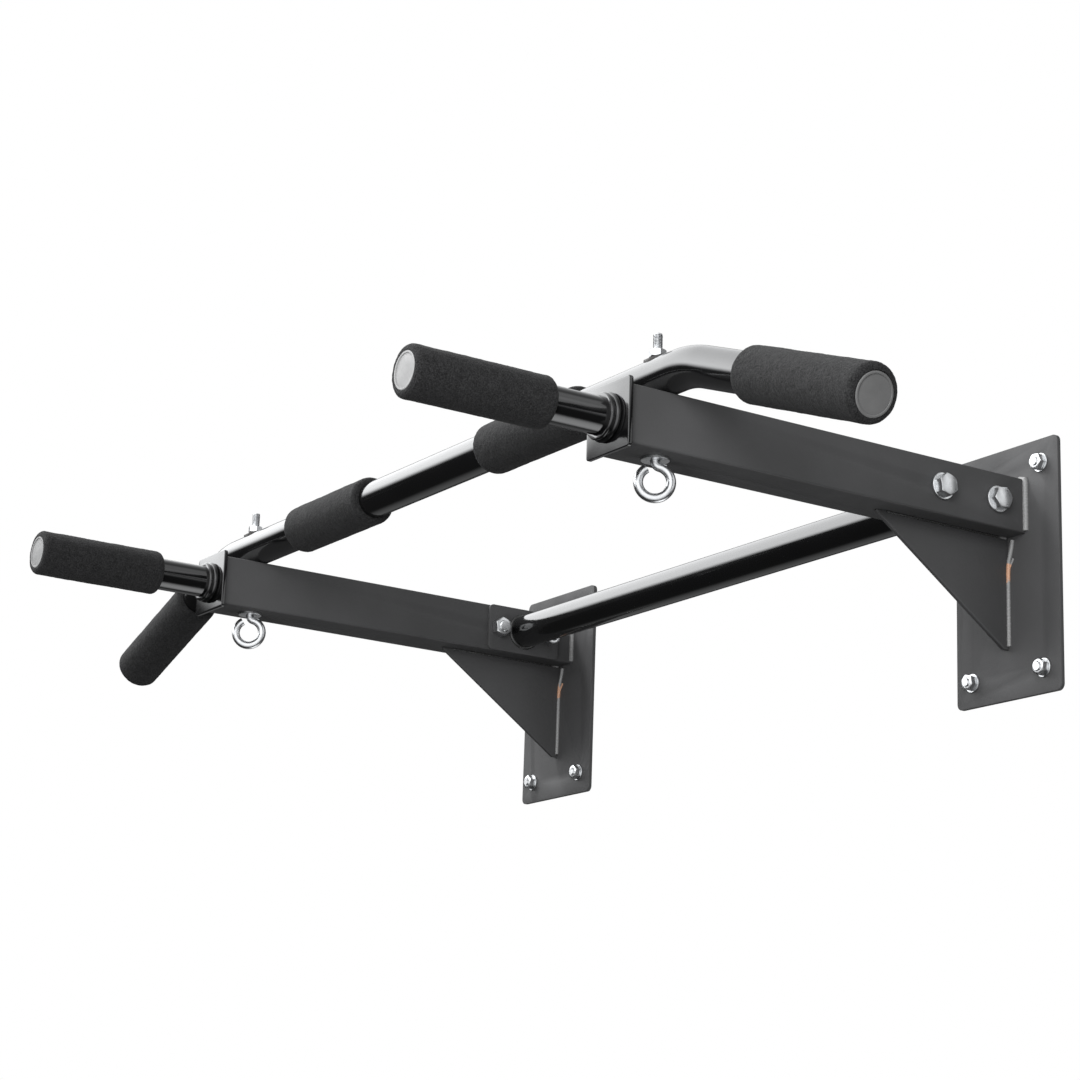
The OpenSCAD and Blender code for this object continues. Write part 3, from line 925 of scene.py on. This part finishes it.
def wire_line(center, top):
    """The wire's centre line, from its free end to the top of the plain shank."""
    neck_turn = math.asin(NECK_RADIUS / (EYE_RADIUS + NECK_RADIUS))
    drop = math.sqrt(EYE_RADIUS ** 2 + 2 * EYE_RADIUS * NECK_RADIUS)
    across = Vector((math.cos(EYE_TURN), math.sin(EYE_TURN), 0))
    start, end = math.radians(90) + FREE_END, math.radians(450) - neck_turn
    for i in range(73):
        a = start + (end - start) * i / 72
        yield (center + across * (EYE_RADIUS * math.cos(a))
               + Vector((0, 0, EYE_RADIUS * math.sin(a))))
    for i in range(1, 15):
        a = math.radians(270) - neck_turn - (math.radians(90) - neck_turn) * i / 14
        yield center + across * (NECK_RADIUS + NECK_RADIUS * math.cos(a)) + Vector(
            (0, 0, drop + NECK_RADIUS * math.sin(a)))
    yield Vector((center.x, center.y, top))


def capped(mesh):
    """Closes the two open ends of a swept skin with a face each."""
    with edited(mesh) as work:
        bmesh.ops.holes_fill(work, edges=[e for e in work.edges if e.is_boundary], sides=0)
        bmesh.ops.recalc_face_normals(work, faces=work.faces)
    return mesh


ROD_OVERLAP = 0.002
for side in SIDES:
    low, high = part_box(f"eye_bolt_{side}")
    shank_middle = middle(f"eye_washer_{side}")
    center = Vector((shank_middle.x, shank_middle.y, low.z + WIRE + EYE_RADIUS))
    arm_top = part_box(f"arm_{side}")[1].z
    wire_mesh = capped(grow(sweep, line_mesh(list(wire_line(center, arm_top))),
                            Radius=WIRE, Sides=32, Material=zinc))
    rod_mesh = threaded_rod(WIRE, high.z - arm_top + ROD_OVERLAP, M8_PITCH)
    rod_mesh.transform(Matrix.Translation((center.x, center.y, arm_top - ROD_OVERLAP)))
    put(joined(wire_mesh, rod_mesh), f"eye_{side}", f"eye_bolt_{side}", zinc)
    washer_low, washer_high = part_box(f"eye_washer_{side}")
    fasteners(f"eye_plate_{side}", f"eye_washer_{side}",
              washer((washer_high.x - washer_low.x) / 2, M8["washer_bore"],
                     washer_high.z - washer_low.z),
              [(center.x, center.y, washer_low.z)], UP, NO_TURN, 1)
    fasteners(f"eye_top_nut_{side}", f"eye_nut_{side}", hexagon(M8["af"], M8["nut"], M8["bore"]),
              [(center.x, center.y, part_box(f"eye_nut_{side}")[0].z)], UP, SMALL_TURN, 2)
print("eye bolts done")

# %% [markdown]
# ## Welds
#
# A weld bead is a row of small overlapping pools. The tree resamples the seam's line, lets the
# bead's radius swell once for each pool with a little seeded noise, and sweeps a circle along it.
# The bead's middle stands a little out of the corner, so most of it is sunk in both plates.

# %% The bead tree
bead, w = new_tree("weld_bead", Radius="Float", Pool="Float", Lumps="Float", Seed="Float",
                   Material="Material")
seam = w["Geometry"].add("GeometryNodeMeshToCurve", None, {"Mesh": w["Geometry"]})
seam = seam.add("GeometryNodeResampleCurve", {"mode": "LENGTH"}, {"Curve": seam, "Length": 0.0006})
along = Wire(bead, seam.add("GeometryNodeSplineParameter").socket.node.outputs["Length"])
spot = seam.add("GeometryNodeInputPosition")
pool = seam.math("PINGPONG", seam.math("DIVIDE", along, w["Pool"]), 0.5) * 2
lump = seam.add("ShaderNodeTexNoise", {"noise_dimensions": "4D"},
                {"Vector": spot, "W": w["Seed"], "Scale": 120.0, "Detail": 2.0})
swell = 0.80 + pool * 0.14 + (lump - 0.5) * w["Lumps"]
seam = seam.add("GeometryNodeSetCurveRadius", None, {"Curve": seam, "Radius": swell})
ring = seam.add("GeometryNodeCurvePrimitiveCircle", None, {"Resolution": 16, "Radius": w["Radius"]})
skin = seam.add("GeometryNodeCurveToMesh", None,
                {"Curve": seam, "Profile Curve": ring, "Fill Caps": True})
end_tree(bead, skin, w["Material"])


POOL_LENGTH = 0.0035


def seam_mesh(points, radius, seed, lumps=0.6):
    return grow(bead, line_mesh(points), Radius=radius, Pool=POOL_LENGTH, Lumps=lumps, Seed=seed,
                Material=weld)


print("bead tree nodes:", len(bead.nodes))

# %% [markdown]
# Each bracket has seams up both sides of the arm, over its top, down both sides of the gusset and
# along it. The hand that made them drifts: the gusset's seams lean outwards near the top, and a
# short stray bead leaves each one. The crossbar has a ring at each end.

# %% Weld beads
SIDE_BEAD, THIN_BEAD, FINE_BEAD, SINK = 0.0029, 0.0020, 0.0010, 0.0006
for side, sign in SIDES.items():
    arm_low, arm_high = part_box(f"arm_{side}")
    gus_low, gus_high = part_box(f"gusset_{side}")
    wall = arm_high.y - SINK
    seams = []
    for k, (x, out) in enumerate(((arm_low.x, -1), (arm_high.x, 1))):
        edge = x + out * SINK
        line = [Vector((x - out * 0.006, wall, arm_high.z + SINK)),
                Vector((edge, wall, arm_high.z - 0.001)), Vector((edge, wall, arm_low.z + 0.002))]
        seams.append((line, SIDE_BEAD, k, 1.1))
    over = [Vector((x, wall, arm_high.z + SINK)) for x in (arm_low.x + 0.002, arm_high.x - 0.002)]
    seams.append((over, THIN_BEAD, 2, 0.6))
    for k, (x, out) in enumerate(((gus_low.x, -1), (gus_high.x, 1))):
        edge = x + out * SINK
        drift = [(0.006, -0.003), (0.0045, -0.010), (0.001, -0.022), (0.0, -0.034)]
        line = [Vector((edge + out * dx, wall, gus_high.z + dz)) for dx, dz in drift]
        line.append(Vector((edge, wall, gus_low.z + 0.003)))
        seams.append((line, THIN_BEAD, 3 + k, 0.8))
        stray = [Vector((edge + out * dx, wall, gus_high.z + dz))
                 for dx, dz in ((0.001, -0.029), (0.007, -0.020))]
        seams.append((stray, FINE_BEAD, 7 + k, 0.5))
        under = [Vector((edge, y, gus_high.z - SINK))
                 for y in (gus_low.y + 0.010, gus_high.y - 0.003)]
        seams.append((under, FINE_BEAD, 5 + k, 0.4))
    meshes = [seam_mesh(points, radius, 2.7 * seed + sign, lumps)
              for points, radius, seed, lumps in seams]
    put(joined(*meshes), f"bracket_beads_{side}", f"bracket_welds_{side}", weld)
    low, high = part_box(f"crossbar_welds_{side}")
    mid = (low + high) / 2
    inner_face = low.x if sign < 0 else high.x
    radius = size("crossbar_tube").z / 2 + SINK * 0.5
    ring_x = inner_face - sign * SINK * 0.5
    ring_points = [Vector((ring_x, mid.y + radius * math.cos(a), mid.z + radius * math.sin(a)))
                   for a in (2 * math.pi * i / 96 for i in range(97))]
    put(seam_mesh(ring_points, THIN_BEAD, 9.0 + sign),
        f"crossbar_beads_{side}", f"crossbar_welds_{side}", weld)
print("welds done")

# %% [markdown]
# ## The hidden tongues
#
# The square tongue of each handle sits inside the arm. Its CAD node is shown as it is, with the
# gloss paint.

# %% Materials of the CAD nodes that stay
for side in SIDES:
    node = frame["nodes"][f"handle_insert_{side}"]
    node.data.materials.clear()
    node.data.materials.append(gloss_coat)
print("shown CAD nodes:", [n for n, o in frame["nodes"].items() if not o.hide_render])

# %% [markdown]
# ## Floor and light
#
# The bar is shown in a plain white studio. The camera sees white, and everything else sees a soft
# dome: brightest high on the left and in front, fading towards the back and the right, and dark
# below the horizon. A glossy tube shows that dome as a broad white band with a soft lower edge,
# above a black body. Large soft panels add what the flat plates need. The floor is pale and far
# below, so that the undersides can be looked at too.

# %% World
world = bpy.data.worlds.new("studio")
bpy.context.scene.world = world
world.use_nodes = True
tree = world.node_tree
tree.nodes.clear()
wire = Wire(tree)
heading = wire.add("ShaderNodeTexCoord", out="Generated")


def soft_step(value, start, end):
    return value.add("ShaderNodeMapRange", {"interpolation_type": "SMOOTHSTEP"},
                     {"Value": value, "From Min": start, "From Max": end})


def toward(direction):
    """1 straight towards a direction, 0 across it and -1 away from it."""
    return heading.add("ShaderNodeVectorMath", {"operation": "DOT_PRODUCT"},
                       {0: heading, 1: Vector(direction).normalized()}, out="Value")


def glow(direction, start, strength):
    """A soft spot in the dome around a direction."""
    return soft_step(toward(direction), start, 1.0) * strength


key = wire.math("POWER", toward((-0.8, -0.6, 0.0)) * 0.5 + 0.5, 3.0) * 4.6 + 0.10
dome = soft_step(toward((0, -0.25, 1)), 0.24, 0.48) * key + 0.03
GLOWS = (
    ((0.56, 0.53, 0.64), 0.90, 0.7),
    ((0.82, 0.53, 0.17), 0.88, 0.9),
    ((-0.05, 0.53, -0.85), 0.88, 1.9),
    ((-0.75, 0.45, -0.45), 0.90, 0.2),
    ((0.75, -0.62, -0.06), 0.45, 1.3),
)
for direction, start, strength in GLOWS:
    dome = dome + glow(direction, start, strength)
to_camera = wire.add("ShaderNodeLightPath", out="Is Camera Ray")
white = wire.add("ShaderNodeBackground", None, {"Color": (1, 1, 1, 1), "Strength": 1.0})
soft = wire.add("ShaderNodeBackground", None, {"Color": (0.98, 0.99, 1.0, 1), "Strength": dome})
both = wire.add("ShaderNodeMixShader", None, {0: to_camera, 1: soft, 2: white})
sink = tree.nodes.new("ShaderNodeOutputWorld")
tree.links.new(both.socket, sink.inputs["Surface"])
bpy.context.scene.view_settings.view_transform = "Standard"
print("world is ready")

# %% Floor
FLOOR_Z, FLOOR_REACH = -4.2, 60.0
floor_corners = [(x * FLOOR_REACH, y * FLOOR_REACH, FLOOR_Z)
                 for x, y in ((-1, -1), (1, -1), (1, 1), (-1, 1))]
floor_mesh = mesh_from(floor_corners, [(0, 1, 2, 3)])
pale = finish_of(
    "floor_finish",
    color=lambda w, p: shades(w, noise(w, p, 0.7, 2.0), (0.82, 0.82, 0.82), (0.83, 0.83, 0.83)),
    roughness=lambda w, p: shades(w, noise(w, p, 3.0, 2.0), 0.85, 0.95),
    bump=lambda w, p: noise(w, p, 40.0, 2.0), bump_height=0.0002, Specular_IOR_Level=0.1)
floor_mesh.materials.append(pale)
floor = bpy.data.objects.new("floor", floor_mesh)
bpy.context.scene.collection.objects.link(floor)
floor.visible_glossy = floor.visible_diffuse = False
floor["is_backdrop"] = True


# %% Lights
def lamp(name, kind, energy, **settings):
    data = bpy.data.lights.new(name, kind)
    data.energy = energy
    for key, value in settings.items():
        setattr(data, key, value)
    made_lamp = bpy.data.objects.new(name, data)
    bpy.context.scene.collection.objects.link(made_lamp)
    return made_lamp


def panel(name, direction, far, width, height, energy):
    """A soft panel that faces the bar from a direction (x, y, z)."""
    heading = Vector(direction).normalized()
    made_lamp = lamp(name, "AREA", energy, shape="RECTANGLE", size=width, size_y=height)
    made_lamp.location = look_at + heading * far
    made_lamp.rotation_mode = "QUATERNION"
    made_lamp.rotation_quaternion = heading.to_track_quat("Z", "Y")
    made_lamp.visible_camera = made_lamp.visible_glossy = False
    return made_lamp


panel("right_front", (0.78, -0.60, 0.14), 1.6, 0.7, 0.6, 22)
panel("front_below", (0.45, -0.75, -0.48), 2.2, 0.9, 0.7, 22)
panel("high_left", (-0.45, -0.30, 0.84), 3.0, 0.9, 0.7, 160)

# %% [markdown]
# ## Finish
#
# The size of the visual model, without the floor, is printed.

# %% Sizes and the last line
low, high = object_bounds()
print("visual size:", [round(x, 3) for x in high - low])
